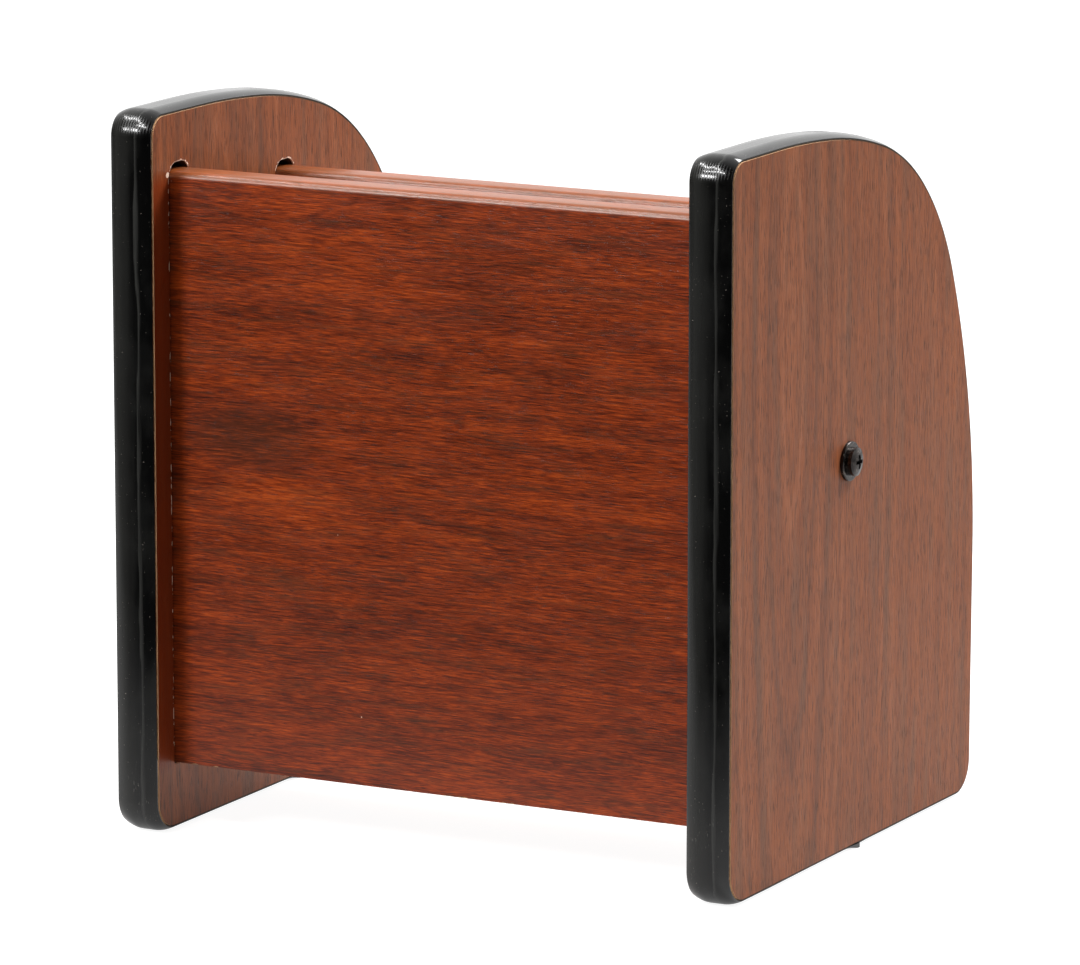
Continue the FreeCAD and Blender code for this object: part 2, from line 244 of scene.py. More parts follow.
def board_foil_finish():
    """Printed grain in layers under a clear coat, paler on the top and upper arrises: partly stretched foil,
    partly painted light from above.
    """
    r = Recipe("board_foil_print")
    bent = bent_place(r, 1.3 * MM, (45 * MM, 12 * MM, 12 * MM))
    bands = r.noise((90 * MM, 5 * MM, 5 * MM), 2, 0.5, (3, 1, 0), bent)
    clouds = r.noise((30 * MM, 14 * MM, 14 * MM), 3, 0.6, (7, 0, 2), bent)
    streaks = r.noise((12 * MM, 0.50 * MM, 0.50 * MM), 4, 0.68, (0, 5, 0), bent)
    hairs = r.noise((6 * MM, 0.22 * MM, 0.22 * MM), 3, 0.6, (1, 0, 9), bent)
    tone = layered(r, 0.54, ((bands, 0.50), (clouds, 0.40), (streaks, 1.35), (hairs, 1.5)))
    # a darker, olive patch and a paler band below it, at set places on the boards' faces
    dusk = soft_spot(r, (-70 * MM, 139 * MM), (30 * MM, 13 * MM))
    glow = soft_spot(r, (-60 * MM, 121 * MM), (36 * MM, 9 * MM))
    tone = r.calc("SUBTRACT", tone, r.calc("MULTIPLY", dusk, 0.16))
    tone = r.calc("ADD", tone, r.calc("MULTIPLY", glow, 0.20), clamp=True)
    colour = r.ramp(tone, (
        (0.05, 0.026, 0.005, 0.003),
        (0.33, 0.092, 0.012, 0.002),
        (0.55, 0.180, 0.023, 0.003),
        (0.78, 0.315, 0.043, 0.004),
        (1.00, 0.430, 0.072, 0.008)))
    olive = r.noise((22 * MM, 2.4 * MM, 2.4 * MM), 5, 0.72, (6, 2, 4), bent)
    olive = r.calc("MAXIMUM", r.span(olive, 0.50, 0.70, 0.0, 0.60), r.calc("MULTIPLY", dusk, 0.42))
    colour = r.blend(olive, colour, (0.068, 0.022, 0.008, 1.0))
    # paler on upward faces: partly foil stretched over the arrises, partly painted light from the lights
    # above
    stretched_and_lit_top = r.span(r.split(r.place.node.outputs["Normal"])["Z"], 0.08, 0.30, 0.0, 0.45)
    colour = r.blend(stretched_and_lit_top, colour, (0.300, 0.100, 0.026, 1.0))
    pores = r.noise((4 * MM, 0.26 * MM, 0.26 * MM), 1, 0.5, (4, 4, 0), bent)
    pore = r.span(pores, 0.64, 0.70)
    colour = r.blend(r.calc("MULTIPLY", pore, 0.6), colour, (0.022, 0.005, 0.003, 1.0))
    colour = r.blend(specks(r), colour, (0.75, 0.45, 0.33, 1.0))
    relief = layered(r, 0.5, ((streaks, 0.5), (hairs, 0.7), (pore, -0.5)))
    wear = r.noise((25 * MM, 9 * MM, 9 * MM), 3, 0.6, (2, 8, 1))
    return r.finish(
        Base_Color=colour,
        Roughness=r.span(layered(r, 0.5, ((wear, 0.6), (streaks, 0.5))), 0.2, 0.8, 0.25, 0.40),
        Normal=r.bump(relief, 0.03 * MM))


foil_finish = board_foil_finish()
print("finish:", foil_finish.name)

# %% [markdown]
# ## The ends' laminate
# The ends wear a duller sheet with upright grain. Low on it the print shows a cathedral, the
# nested arches that a flat-sawn plank has. A plank cut through a cone of growth rings draws
# them, so the rings here are the distance from a leaning axis: far from the arch's middle
# that distance changes only sideways, and the same rings become upright lines.

# %% End laminate
GROOVE_UNDER = 0.3 * MM             # the groove is this much longer than the board below,
GROOVE_OVER = 2.4 * MM              # above
GROOVE_SLACK = 0.25 * MM            # and beside it
GROOVE_RADIUS = 5.3 * MM            # of its round end, with the rim
RIM = 0.3 * MM
ARCH_MIDDLE = -50 * MM              # the cathedral's place along Y
ARCH_TIP = 182 * MM


def cathedral_rings(recipe, bent, middle, tip, lean):
    """Distance from a cone's axis: the root of across squared plus (lean x depth under tip) squared."""
    axes = recipe.split(bent)
    across = recipe.offset(axes["Y"], middle)
    below = recipe.calc("MULTIPLY", recipe.offset(axes["Z"], tip), lean)
    return recipe.calc("SQRT", recipe.squares(across, below))


def groove_distance(recipe, board, radius, grow):
    """Distance outside the groove round a board: from a box with round corners, in (y, z)."""
    low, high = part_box(board)
    foot, head = low.z - GROOVE_UNDER - grow, high.z + GROOVE_OVER + grow
    centre = ((low.y + high.y) / 2, (foot + head) / 2)
    half = ((high.y - low.y) / 2 + GROOVE_SLACK + grow, (head - foot) / 2)
    axes = recipe.split()
    apart = []
    for axis, middle, size in zip("YZ", centre, half):
        away = recipe.calc("ABSOLUTE", recipe.offset(axes[axis], middle))
        apart.append(recipe.calc("MAXIMUM", recipe.offset(away, size - radius), 0.0))
    return recipe.offset(recipe.calc("SQRT", recipe.squares(*apart)), radius)


def on_inner_face(recipe):
    """1 on an end's inner laminate, which lies nearer the middle of the stand than the core."""
    beside = recipe.calc("ABSOLUTE", recipe.split()["X"])
    return recipe.calc("LESS_THAN", beside, inner_face + 1 * MM)


def corner_flake(recipe):
    """1 on the one larger flake, at the front groove's upper front corner."""
    low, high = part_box("front_board_foil")
    axes = recipe.split()
    across = recipe.offset(axes["Y"], low.y - 1.1 * MM, 1.6 * MM)
    up = recipe.offset(axes["Z"], high.z - 1.2 * MM, 1.3 * MM)
    ragged = recipe.noise((0.8 * MM, 0.8 * MM, 0.8 * MM), 2)
    return recipe.calc("LESS_THAN", recipe.squares(across, up), ragged)


def chipped_rims(recipe):
    """1 where the sheet has flaked round a groove, in a band whose width comes and goes."""
    ragged = recipe.noise((1.5 * MM, 1.5 * MM, 3.0 * MM), 2, 0.6, (8, 3, 1))
    width = recipe.span(ragged, 0.48, 0.60, -0.40 * MM, 0.50 * MM)
    masks = [corner_flake(recipe)]
    for board in ("front_board_foil", "rear_board_foil"):
        distance = groove_distance(recipe, board, GROOVE_RADIUS, RIM)
        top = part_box(board)[1].z
        arch = recipe.span(recipe.split()["Z"], top - 1 * MM, top, -0.40 * MM, 0.12 * MM)
        masks.append(recipe.calc("LESS_THAN", distance, recipe.calc("MAXIMUM", width, arch)))
    either = recipe.calc("MAXIMUM", masks[0], recipe.calc("MAXIMUM", masks[1], masks[2]))
    return recipe.calc("MULTIPLY", either, on_inner_face(recipe))


def painted_board_shade(recipe):
    """Up to 0.8 on an inner face ahead of the front groove, over the board's height: painted shade, the
    front board's shadow and its dark reflection.
    """
    low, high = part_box("front_board_foil")
    axes = recipe.split()
    ahead = recipe.calc("LESS_THAN", axes["Y"], low.y)
    below_top = recipe.span(axes["Z"], high.z - 4 * MM, high.z + 2 * MM, 0.8, 0.0)
    above_foot = recipe.span(axes["Z"], low.z - 3 * MM, low.z + 3 * MM)
    beside_board = recipe.calc("MULTIPLY", below_top, above_foot)
    return recipe.calc("MULTIPLY", recipe.calc("MULTIPLY", on_inner_face(recipe), ahead), beside_board)


def cut_edge(recipe):
    """1 on the sheet's own sawn edge, whose direction has no X in it."""
    facing = recipe.split(recipe.place.node.outputs["Normal"])
    return recipe.calc("LESS_THAN", recipe.calc("ABSOLUTE", facing["X"]), 0.5)


def end_laminate_finish():
    """Upright printed grain with a cathedral, ashen clouds and pores, flaked round the grooves;
    painted shade ahead of the front board and a painted highlight on the flakes.
    """
    r = Recipe("end_laminate_print")
    bent = bent_place(r, 1.6 * MM, (12 * MM, 12 * MM, 80 * MM))
    bands = r.noise((5 * MM, 5 * MM, 170 * MM), 2, 0.5, (1, 2, 3), bent)
    clouds = r.noise((15 * MM, 15 * MM, 60 * MM), 2, 0.5, (5, 0, 1), bent)
    streaks = r.noise((0.75 * MM, 0.75 * MM, 13 * MM), 4, 0.66, (0, 3, 0), bent)
    hairs = r.noise((0.36 * MM, 0.36 * MM, 9 * MM), 2, 0.5, (2, 0, 6), bent)
    rings = r.calc("DIVIDE", cathedral_rings(r, bent, ARCH_MIDDLE, ARCH_TIP, 0.13), 5.2 * MM)
    arch = r.add("ShaderNodeTexNoise", {"W": rings, "Scale": 1.0, "Detail": 1.0}, noise_dimensions="1D")
    aside = r.calc("ABSOLUTE", r.offset(r.split()["Y"], ARCH_MIDDLE))
    arch = layered(r, 0.5, ((arch, r.span(aside, 25 * MM, 60 * MM, 1.0, 0.35)),))
    tone = layered(r, 0.56, ((bands, 0.22), (clouds, 0.30), (streaks, 0.65), (hairs, 1.00), (arch, 1.10)))
    colour = r.ramp(tone, (
        (0.10, 0.135, 0.044, 0.020),
        (0.36, 0.205, 0.062, 0.025),
        (0.52, 0.252, 0.075, 0.027),
        (0.70, 0.300, 0.088, 0.030),
        (1.00, 0.360, 0.130, 0.060)))
    ashen = r.noise((6 * MM, 6 * MM, 60 * MM), 3, 0.6, (9, 6, 1), bent)
    ashen = layered(r, 0.5, ((ashen, 1.0), (arch, -0.5)))
    colour = r.blend(r.span(ashen, 0.46, 0.72, 0.0, 0.55), colour, (0.175, 0.084, 0.048, 1.0))
    pores = r.noise((0.32 * MM, 0.32 * MM, 6 * MM), 1, 0.5, (4, 4, 0), bent)
    pore = r.span(pores, 0.58, 0.65)
    colour = r.blend(r.calc("MULTIPLY", pore, 0.75), colour, (0.052, 0.020, 0.010, 1.0))
    # painted shade: the inner face ahead of the front board is darkened and reddened as if shaded by the
    # board and mirroring it
    colour = r.blend(painted_board_shade(r), colour, (0.230, 0.032, 0.005, 1.0))
    flaked = chipped_rims(r)
    colour = r.blend(cut_edge(r), colour, (0.74, 0.45, 0.25, 1.0))
    # bare core where the sheet flaked, painted paler than the core itself: a painted highlight where the
    # lifted flakes catch the light
    colour = r.blend(flaked, colour, (0.95, 0.70, 0.55, 1.0))
    bare = r.calc("MAXIMUM", cut_edge(r), flaked)
    relief = layered(r, 0.5, ((streaks, 0.4), (hairs, 0.6), (pore, -0.9), (bare, -1.5)))
    dull = r.noise((9 * MM, 9 * MM, 30 * MM), 3, 0.6, (2, 8, 1))
    return r.finish(
        Base_Color=colour,
        Roughness=r.span(layered(r, 0.5, ((dull, 0.5), (streaks, 0.5))), 0.2, 0.8, 0.34, 0.48),
        Specular_IOR_Level=0.13,
        Normal=r.bump(relief, 0.045 * MM))


inner_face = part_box("right_end_inner_laminate")[0].x
laminate_finish = end_laminate_finish()
print("finish:", laminate_finish.name)

# %% [markdown]
# ## Raw particle board
# Where no sheet covers the core it shows pressed chips and glue: the thin rim round each end,
# the boards' lower edges and the grooves. Cells of random tint make the chips.

# %% Particle board
def particle_finish(name, groove_shade):
    """groove_shade is how much the middle of an end, seen only deep in the grooves, is darkened as painted
    shade; its rim stays pale.
    """
    r = Recipe(name)
    chips = r.add("ShaderNodeTexVoronoi", {"Vector": r.place, "Scale": 1 / (1.3 * MM)}, "Color")
    tint = r.add("ShaderNodeSeparateColor", {"Color": chips})
    dust = r.noise((0.35 * MM, 0.35 * MM, 0.35 * MM), 3, 0.6)
    colour = r.ramp(layered(r, tint, ((dust, 0.9),)), (
        (0.0, 0.24, 0.125, 0.055),
        (0.35, 0.42, 0.235, 0.110),
        (0.7, 0.55, 0.330, 0.165),
        (1.0, 0.68, 0.450, 0.260)))
    # painted shade: the core is darkened inside its rim, where only the grooves' depths show it
    middle = r.span(r.calc("ABSOLUTE", r.split()["Y"]), 88 * MM, 92 * MM, groove_shade, 0.0)
    colour = r.blend(middle, colour, (0.012, 0.006, 0.003, 1.0))
    return r.finish(
        Base_Color=colour,
        Roughness=0.82,
        Normal=r.bump(layered(r, dust, ((tint, 0.5),)), 0.12 * MM))


# the ends' cores get painted shade in their grooves
end_core_finish = particle_finish("end_particle_board", 0.9)
board_core_finish = particle_finish("board_particle_board", 0.0)
print("finishes:", end_core_finish.name, board_core_finish.name)

# %% [markdown]
# ## Black plastic trim
# The trim is extruded soft plastic, shiny and nearly black. What the eye reads is not its
# colour but what it mirrors, so its shape carries the look. The finish adds lengthwise bands
# of painted reflection, lighter and darker across the strip, dull creases where the strip
# bends at the upper front corner, and what handling leaves: slightly duller patches, fine
# specks of dust and a few rubbed marks.

# %% Trim plastic
CREASE_PITCH = 1.0 * MM


def corner_creases(recipe):
    """Up to 1 on fine upright creases, which sit only where the strip bends at the upper front corner."""
    low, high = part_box("right_edge_trim")
    axes = recipe.split()
    wave = recipe.calc("SINE", recipe.calc("MULTIPLY", axes["X"], 2 * math.pi / CREASE_PITCH))
    high_up = recipe.span(axes["Z"], high.z - 8.5 * MM, high.z - 6.5 * MM)
    forward = recipe.span(axes["Y"], low.y + 3.0 * MM, low.y + 4.5 * MM, 1.0, 0.0)
    return recipe.calc("MULTIPLY", recipe.span(wave, -0.1, 0.5), recipe.calc("MULTIPLY", high_up, forward))


def trim_finish():
    """Black plastic: painted reflection bands along the strip, duller patches, dust, scratches low down."""
    r = Recipe("black_trim_plastic")
    patches = r.noise((14 * MM, 14 * MM, 22 * MM), 4, 0.6, (1, 7, 3))
    dust = r.noise((0.45 * MM, 0.45 * MM, 0.45 * MM), 0, 0.5, (6, 1, 2))
    speck = r.span(dust, 0.83, 0.86)
    sideways = r.split()["X"]
    across = r.calc("SUBTRACT", sideways, r.calc("MULTIPLY", r.calc("SIGN", sideways), trim_middle))
    wander = r.noise((2.5 * MM, 2.5 * MM, 34 * MM), 2, 0.5, (3, 3, 3))
    across = r.calc("ADD", across, r.span(wander, 0.3, 0.7, -0.7 * MM, 0.7 * MM))
    # painted reflection: lighter and darker bands across the strip stand for the room that it mirrors
    painted_reflection_bands = r.ramp(r.span(across, -8 * MM, 8 * MM), (
        (0.00, 0.0060, 0.0060, 0.0056),
        (0.16, 0.0190, 0.0190, 0.0176),
        (0.40, 0.0110, 0.0110, 0.0102),
        (0.58, 0.0015, 0.0015, 0.0014),
        (0.625, 0.0015, 0.0015, 0.0014),
        (0.645, 0.0300, 0.0300, 0.0280),
        (0.70, 0.0090, 0.0090, 0.0084),
        (0.72, 0.0010, 0.0010, 0.0010)))
    colour = r.blend(r.span(patches, 0.45, 0.75, 0.0, 0.5), painted_reflection_bands, (0.0200, 0.0200, 0.0185, 1.0))
    colour = r.blend(speck, colour, (0.16, 0.14, 0.12, 1.0))
    scratches = r.span(r.noise((0.5 * MM, 0.5 * MM, 2.2 * MM), 2, 0.5, (5, 5, 5)), 0.68, 0.73)
    low_down = r.span(r.split()["Z"], 10 * MM, 42 * MM, 0.8, 0.0)
    rubbed = r.calc("MULTIPLY", r.calc("MULTIPLY", scratches, low_down), r.span(patches, 0.48, 0.60))
    colour = r.blend(rubbed, colour, (0.20, 0.19, 0.17, 1.0))
    skin = r.noise((3.5 * MM, 3.5 * MM, 9 * MM), 2, 0.5, (0, 0, 4))
    dull = r.calc("ADD", r.calc("MULTIPLY", speck, 0.3), r.calc("MULTIPLY", corner_creases(r), 0.20))
    return r.finish(
        Base_Color=colour,
        Roughness=r.calc("ADD", r.span(patches, 0.35, 0.75, 0.09, 0.20), dull),
        Normal=r.bump(skin, 0.012 * MM))


trim_middle = sum(corner.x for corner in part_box("right_edge_trim")) / 2
plastic_finish = trim_finish()
print("finish:", plastic_finish.name)

# %% [markdown]
# ## Blackened steel
# The screws and washers are steel with a black oxide coat, which is thin: it goes brownish
# and brighter where the driver and the washer have rubbed it.

# %% Screw metal
def screw_finish():
    """Black oxide on steel, brown and brighter where it has worn."""
    r = Recipe("blackened_steel")
    worn = r.noise((1.6 * MM, 1.6 * MM, 1.6 * MM), 4, 0.65)
    colour = r.ramp(worn, (
        (0.30, 0.020, 0.018, 0.018),
        (0.58, 0.055, 0.047, 0.043),
        (0.80, 0.220, 0.185, 0.160)))
    return r.finish(
        Base_Color=colour,
        Metallic=0.85,
        Roughness=r.span(worn, 0.3, 0.8, 0.16, 0.34),
        Normal=r.bump(r.noise((0.5 * MM, 0.5 * MM, 0.5 * MM), 2), 0.02 * MM))


steel_finish = screw_finish()
print("finish:", steel_finish.name)

# %% [markdown]
# ## Which node gets which finish
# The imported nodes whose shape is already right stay, and only their material slots change.

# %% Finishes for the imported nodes
FINISH_OF = {
    "end_core": end_core_finish,
    "board_core": board_core_finish,
    "laminate": laminate_finish,
    "screw": steel_finish,
    "washer": steel_finish,
}
for name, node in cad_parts.items():
    for ending, finish in FINISH_OF.items():
        if name.endswith(ending):
            node.data.materials.clear()
            node.data.materials.append(finish)
            print(f"{name}: {finish.name}")

# %% [markdown]
# ## The outline of an end
# The trim follows the end's outline, so the outline comes first. It is walked clockwise from
# the lower front corner: straight runs, and arcs that each start in the direction in which
# the run before them ended. Height and depth come from the core's box, and the arcs of the
# falling top share one unit radius, which is solved from the depth that they have to cover.

# %% The end's outline
core_low, core_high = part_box("right_end_core")
LAMINATE_GAP = 0.5 * MM            # the core shows this much round the laminate
DEPTH = core_high.y - core_low.y - 2 * LAMINATE_GAP
HEIGHT = core_high.z - core_low.z - 2 * LAMINATE_GAP
FRONT_TOP_RADIUS = 7 * MM
FOOT_RADIUS = 10 * MM
TOP_FLAT_END = 33 * MM
SHOULDER = ((4.90, 5.5), (2.45, 10.5), (1.00, 51.5), (2.90, 23.2))   # relative radius, degrees


def shoulder_unit(depth):
    """The unit radius with which the arcs reach depth at the point where they head straight down."""
    turned, run = 0.0, 0.0
    for share, sweep in SHOULDER:
        end = min(turned + math.radians(sweep), math.pi / 2)
        run += share * (math.sin(end) - math.sin(turned))
        turned = end
    return depth / run


def outline_stretches():
    """(length or radius, degrees turned, steps) for each stretch, clockwise from the lower front corner."""
    unit = shoulder_unit(DEPTH - TOP_FLAT_END)
    lean = math.radians(sum(sweep for _, sweep in SHOULDER) - 90)
    drop, turned = 0.0, 0.0
    for share, sweep in SHOULDER:
        end = turned + math.radians(sweep)
        drop += share * unit * (math.cos(turned) - math.cos(end))
        turned = end
    back = (HEIGHT - drop - FOOT_RADIUS * (1 - math.sin(lean))) / math.cos(lean)
    yield HEIGHT - FOOT_RADIUS - FRONT_TOP_RADIUS, 0, 70
    yield FRONT_TOP_RADIUS, 90, 48
    yield TOP_FLAT_END - FRONT_TOP_RADIUS, 0, 10
    for share, sweep in SHOULDER:
        yield share * unit, sweep, max(6, int(sweep))
    yield back, 0, 30
    yield FOOT_RADIUS, 90 - math.degrees(lean), 30
    yield None, 0, 80
    yield FOOT_RADIUS, 90, 32


def walk_outline():
    """Places (y, z), directions out of the panel (y, z), distances walked, and the whole way round."""
    y, z = core_low.y + LAMINATE_GAP, core_low.z + LAMINATE_GAP + FOOT_RADIUS
    heading, walked = math.pi / 2, 0.0
    ys, zs, headings, distances = [], [], [], []
    for size, sweep, steps in outline_stretches():
        share = np.linspace(0.0, 1.0, steps, endpoint=False)
        turn = math.radians(sweep)
        if size is None:            # the underside runs to the lower front corner
            size = y - (core_low.y + LAMINATE_GAP + FOOT_RADIUS)
        length = size * turn if sweep else size
        h = heading - turn * share
        if sweep:
            ys.append(y + size * (np.sin(heading) - np.sin(h)))
            zs.append(z - size * (np.cos(heading) - np.cos(h)))
            y, z = (y + size * (math.sin(heading) - math.sin(heading - turn)),
                    z - size * (math.cos(heading) - math.cos(heading - turn)))
        else:
            ys.append(y + length * share * math.cos(heading))
            zs.append(z + length * share * math.sin(heading))
            y, z = y + length * math.cos(heading), z + length * math.sin(heading)
        headings.append(h)
        distances.append(walked + length * share)
        heading, walked = heading - turn, walked + length
    h = np.concatenate(headings)
    places = np.stack([np.concatenate(ys), np.concatenate(zs)], -1)
    directions = np.stack([-np.sin(h), np.cos(h)], -1)
    return places, directions, np.concatenate(distances), walked


path, outward, walked, lap = walk_outline()
ends_apart = np.abs(path[0] - path[-1]).max()
print(f"outline: {len(path)} places, {lap / MM:.1f} mm round, ends {ends_apart / MM:.2f} mm apart")

# %% [markdown]
# ## Edge trim
# The trim is a T-shaped strip: a low crown lies on the core's edge and a tongue sits in a saw
# kerf behind it. Bending stiff plastic round the tight upper front corner squeezes its skin
# into ripples, and these catch the light. The strip starts and ends at a butt seam under the
# panel, and there its edges lift a little off the wood. A profile carried along the outline
# gives all of this, with the ripples and the lift as functions of the distance walked.

# %% Edge trims
SEAM_Y = 4.0 * MM
SEAM_GAP = 0.6 * MM
CROWN = 1.8 * MM
LIP = 0.25 * MM
FLAT = 4.0 * MM
TONGUE_HALF = 0.75 * MM
TONGUE_DEPTH = 8.0 * MM
RIPPLE = 0.010 * MM
RIPPLE_PITCH = 0.80 * MM
FLOW = 0.035 * MM
DIE_LINE = 0.025 * MM               # the extrusion die left a fine groove beside the flat
bend_start = HEIGHT - FOOT_RADIUS - FRONT_TOP_RADIUS
bend_end = bend_start + FRONT_TOP_RADIUS * math.pi / 2


def crown_height(across, half):
    """The crown over the core's edge: flat in the middle, then an arc that falls to the lip."""
    rise, reach = CROWN - LIP, half - FLAT / 2
    radius = (reach ** 2 + rise ** 2) / (2 * rise)
    side = np.clip(np.abs(across) - FLAT / 2, 0, None)
    die_line = DIE_LINE * np.exp(-((across - FLAT / 2) / (0.24 * MM)) ** 2)
    return CROWN - radius + np.sqrt(radius ** 2 - side ** 2) - die_line


def window(distance, start, end, soft):
    """1 between start and end, falling smoothly to 0 over soft outside them."""
    inside = np.minimum(distance - start, end - distance)
    share = np.clip(1 + inside / soft, 0, 1)
    return share * share * (3 - 2 * share)


def from_seam():
    """The numbers of the outline's places, in order from the one on the underside nearest the seam."""
    under = np.argmin(np.abs(path[:, 0] - SEAM_Y) + 10 * (path[:, 1] > core_low.z + 2 * MM))
    return np.roll(np.arange(len(path)), -under)


def back_foot_window(s):
    """1 on the lower back corner, where the tongue is cut away as on the other tight corners."""
    corner = np.where((path[:, 0] > core_high.y - 30 * MM) & (path[:, 1] < core_low.z + FOOT_RADIUS))[0]
    return window(s, walked[corner[0]], walked[corner[-1]], 1.5 * MM)


def corner_ripples(s, columns, half, side):
    """Squeezed skin on the bend: sin(2 pi x / pitch), fading towards the strip's edges and outer half."""
    down = s[:, None] - bend_start
    ticks = np.sin(2 * np.pi * (columns / RIPPLE_PITCH + 0.15 * np.sin(down / (1.3 * MM))))
    rows = 1.0 + 0.1 * np.sin(2 * np.pi * down / (3.1 * MM))
    inner_half = 0.4 + 0.6 * np.clip(-side * columns / half, 0, 1)
    squeeze = window(s, bend_start + 2 * MM, bend_end - 3 * MM, 4 * MM)[:, None]
    return RIPPLE * squeeze * ticks * rows * inner_half * (1 - (columns / half) ** 8)


def waviness(s, columns, half, seed):
    """The slow waves that coiled plastic keeps: one tilts the strip, one swells its upright front."""
    tilt = soft_noise(len(s), 3 * MM, 22 * MM, seed)[:, None] * columns / half
    swell = soft_noise(len(s), 3 * MM, 11 * MM, seed + 30)[:, None] * np.cos(2.2 * columns / half + 0.6)
    upright = window(s, 12 * MM, bend_start - 45 * MM, 25 * MM)[:, None]
    return FLOW * (tilt + swell * upright)


def strip_height(s, columns, half, lift, side, seed):
    """The strip's visible skin over the core's edge, for every place s and column."""
    height = crown_height(columns, half) + waviness(s, columns, half, seed)
    height = height + corner_ripples(s, columns, half, side)
    height = np.minimum(height + lift * (CROWN - height) * 0.7, CROWN + RIPPLE)
    height[:, [0, -1]] = np.maximum(height[:, [0, -1]], LIP)
    return height


def tongue(s, half):
    """Across and out for the strip's underside and tongue, which is cut away at tight corners."""
    tight = window(s, bend_start, bend_end, 1.5 * MM) + window(s, lap - 16.5 * MM, lap, 1.5 * MM)
    tight = tight + window(s, -20 * MM, 1 * MM, 1 * MM) + back_foot_window(s)
    depth = TONGUE_DEPTH * np.clip(1 - tight, 0.02, 1)
    across = np.array([half, TONGUE_HALF, TONGUE_HALF, -TONGUE_HALF, -TONGUE_HALF, -half])
    out = np.array([0.0, 0.0, -1.0, -1.0, 0.0, 0.0]) * depth[:, None]
    return across, out


def edge_trim(side, node, seed):
    """The strip's section at every place of the outline, from one end of the seam to the other."""
    low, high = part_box(node)
    middle, half = (low.x + high.x) / 2, (high.x - low.x) / 2
    order = from_seam()
    at, out_way, s = path[order].copy(), outward[order], walked[order]
    at[0, 0], at[-1, 0] = SEAM_Y - SEAM_GAP / 2, SEAM_Y + SEAM_GAP / 2
    along = (s - s[0]) % lap
    lift = np.exp(-(along / (5 * MM)) ** 2) * 1.3 + np.exp(-(lap - along) / (3 * MM)) * 0.3
    lift = lift[:, None]

    columns = np.linspace(-half, half, 97)
    height = strip_height(s, columns, half, lift, side, seed)
    tongue_across, tongue_out = tongue(s, half)
    across = np.concatenate([columns, tongue_across])
    out = LAMINATE_GAP + np.concatenate([height, tongue_out], axis=1)

    corners = np.empty((len(s), len(across), 3))
    corners[..., 0] = middle + across * (1 + 0.07 * lift)
    corners[..., 1:] = at[:, None, :] + out_way[:, None, :] * out[..., None]
    corners[..., 2] = np.maximum(corners[..., 2], 0.0)
    return corners


for side, word, seed in ((-1, "left", 11), (1, "right", 12)):
    corners = edge_trim(side, word + "_edge_trim", seed)
    piece = grid_piece(word + "_trim_strip", corners, plastic_finish)
    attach(piece, "root")
    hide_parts(word + "_edge_trim")

# %% [markdown]
# ## The boards' wrap
# The foil goes up a board's face, over both rounded upper arrises and down the back, and it
# was cut off with the board, so its lower edge is chipped. The wrap is the board's section
# carried along X. The lower edge follows a jagged curve: mostly level, with short bites that
# show the pale core behind it.

# %% Board wraps
FOIL = 0.3 * MM
TOP_RADIUS = 2.5 * MM
WRAP_RINGS = 620                    # a ring every third of a millimetre, fine enough for the bites


def wrap_side(skin, low, high, faces=9, bends=9):
    """Half a board's section, from lower front to the end of the front arris, set in by skin.

    Gives y, z and the share of the bite that each point takes."""
    radius = TOP_RADIUS - skin
    shoulder = high.z - TOP_RADIUS
    up = np.concatenate([[0.0, 0.4 * MM, 1.2 * MM], np.linspace(6 * MM, shoulder - low.z, faces)])
    angle = np.linspace(0, math.pi / 2, bends + 1)[1:]
    y = np.concatenate([np.full(len(up), low.y + skin), low.y + skin + radius * (1 - np.cos(angle))])
    z = np.concatenate([low.z + up, shoulder + radius * np.sin(angle)])
    bite = np.zeros(len(y))
    bite[:2] = 1.0, 0.45
    return y, z, bite


def chipped_edge(count, spacing, seed):
    """Bites along a sawn foil edge: the part of a rough curve over a threshold, 0 to 0.5 mm deep."""
    broad = soft_noise(count, spacing, 2.2 * MM, seed)
    fine = soft_noise(count, spacing, 0.45 * MM, seed + 1)
    depth = np.clip(broad * 0.6 + fine * 0.8 - 0.55, 0, 2.0)
    return 0.06 * MM + 0.24 * MM * depth


def board_wrap(node, seed):
    """Rings along X: out round the foil's outer skin, and back round its inner skin, bites and all."""
    low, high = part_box(node)
    x = np.linspace(low.x, high.x, WRAP_RINGS)
    bites = [chipped_edge(len(x), x[1] - x[0], seed + k) for k in (0, 5)]
    ring_y, ring_z, ring_bite = [], [], []
    for skin, inner in ((0.0, False), (FOIL, True)):
        y, z, bite = wrap_side(skin, low, high)
        back_y = (low.y + high.y) - y[::-1]
        whole = (np.concatenate([y, back_y]), np.concatenate([z, z[::-1]]),
                 np.concatenate([bite[:, None] * [1, 0], bite[::-1, None] * [0, 1]]))
        if inner:
            whole = tuple(part[::-1] for part in whole)
        for ring, part in zip((ring_y, ring_z, ring_bite), whole):
            ring.append(part)
    y, z, bite = (np.concatenate(ring) for ring in (ring_y, ring_z, ring_bite))
    corners = np.empty((len(x), len(y), 3))
    corners[..., 0] = x[:, None]
    corners[..., 1] = y
    corners[..., 2] = z + np.stack(bites, -1) @ bite.T
    return corners


for word, seed in (("front", 21), ("rear", 41)):
    corners = board_wrap(word + "_board_foil", seed)
    piece = grid_piece(word + "_board_wrap", corners, foil_finish)
    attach(piece, "root")
    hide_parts(word + "_board_foil")

# %% [markdown]
# ## Room, lights and camera
# The stand was pictured on a white table in front of a white sweep. Gloss shows what is round
# an object: the tops of the trims mirror the bright sweep, and their fronts mirror the dim
# room in front. So the surroundings are bright behind and above and dim in front. Three long,
# narrow lights stand in front on the left, and the bent corners of the trims mirror them as
# bright lines. One broad light at the back on the right lifts the outer face of the right end.

# %% Surroundings
WHITE = (1.0, 1.0, 1.0, 1.0)
SWEEP_SIDE = (0.05, 0.93, 0.36)     # the way to the middle of the bright sweep: behind, a little up


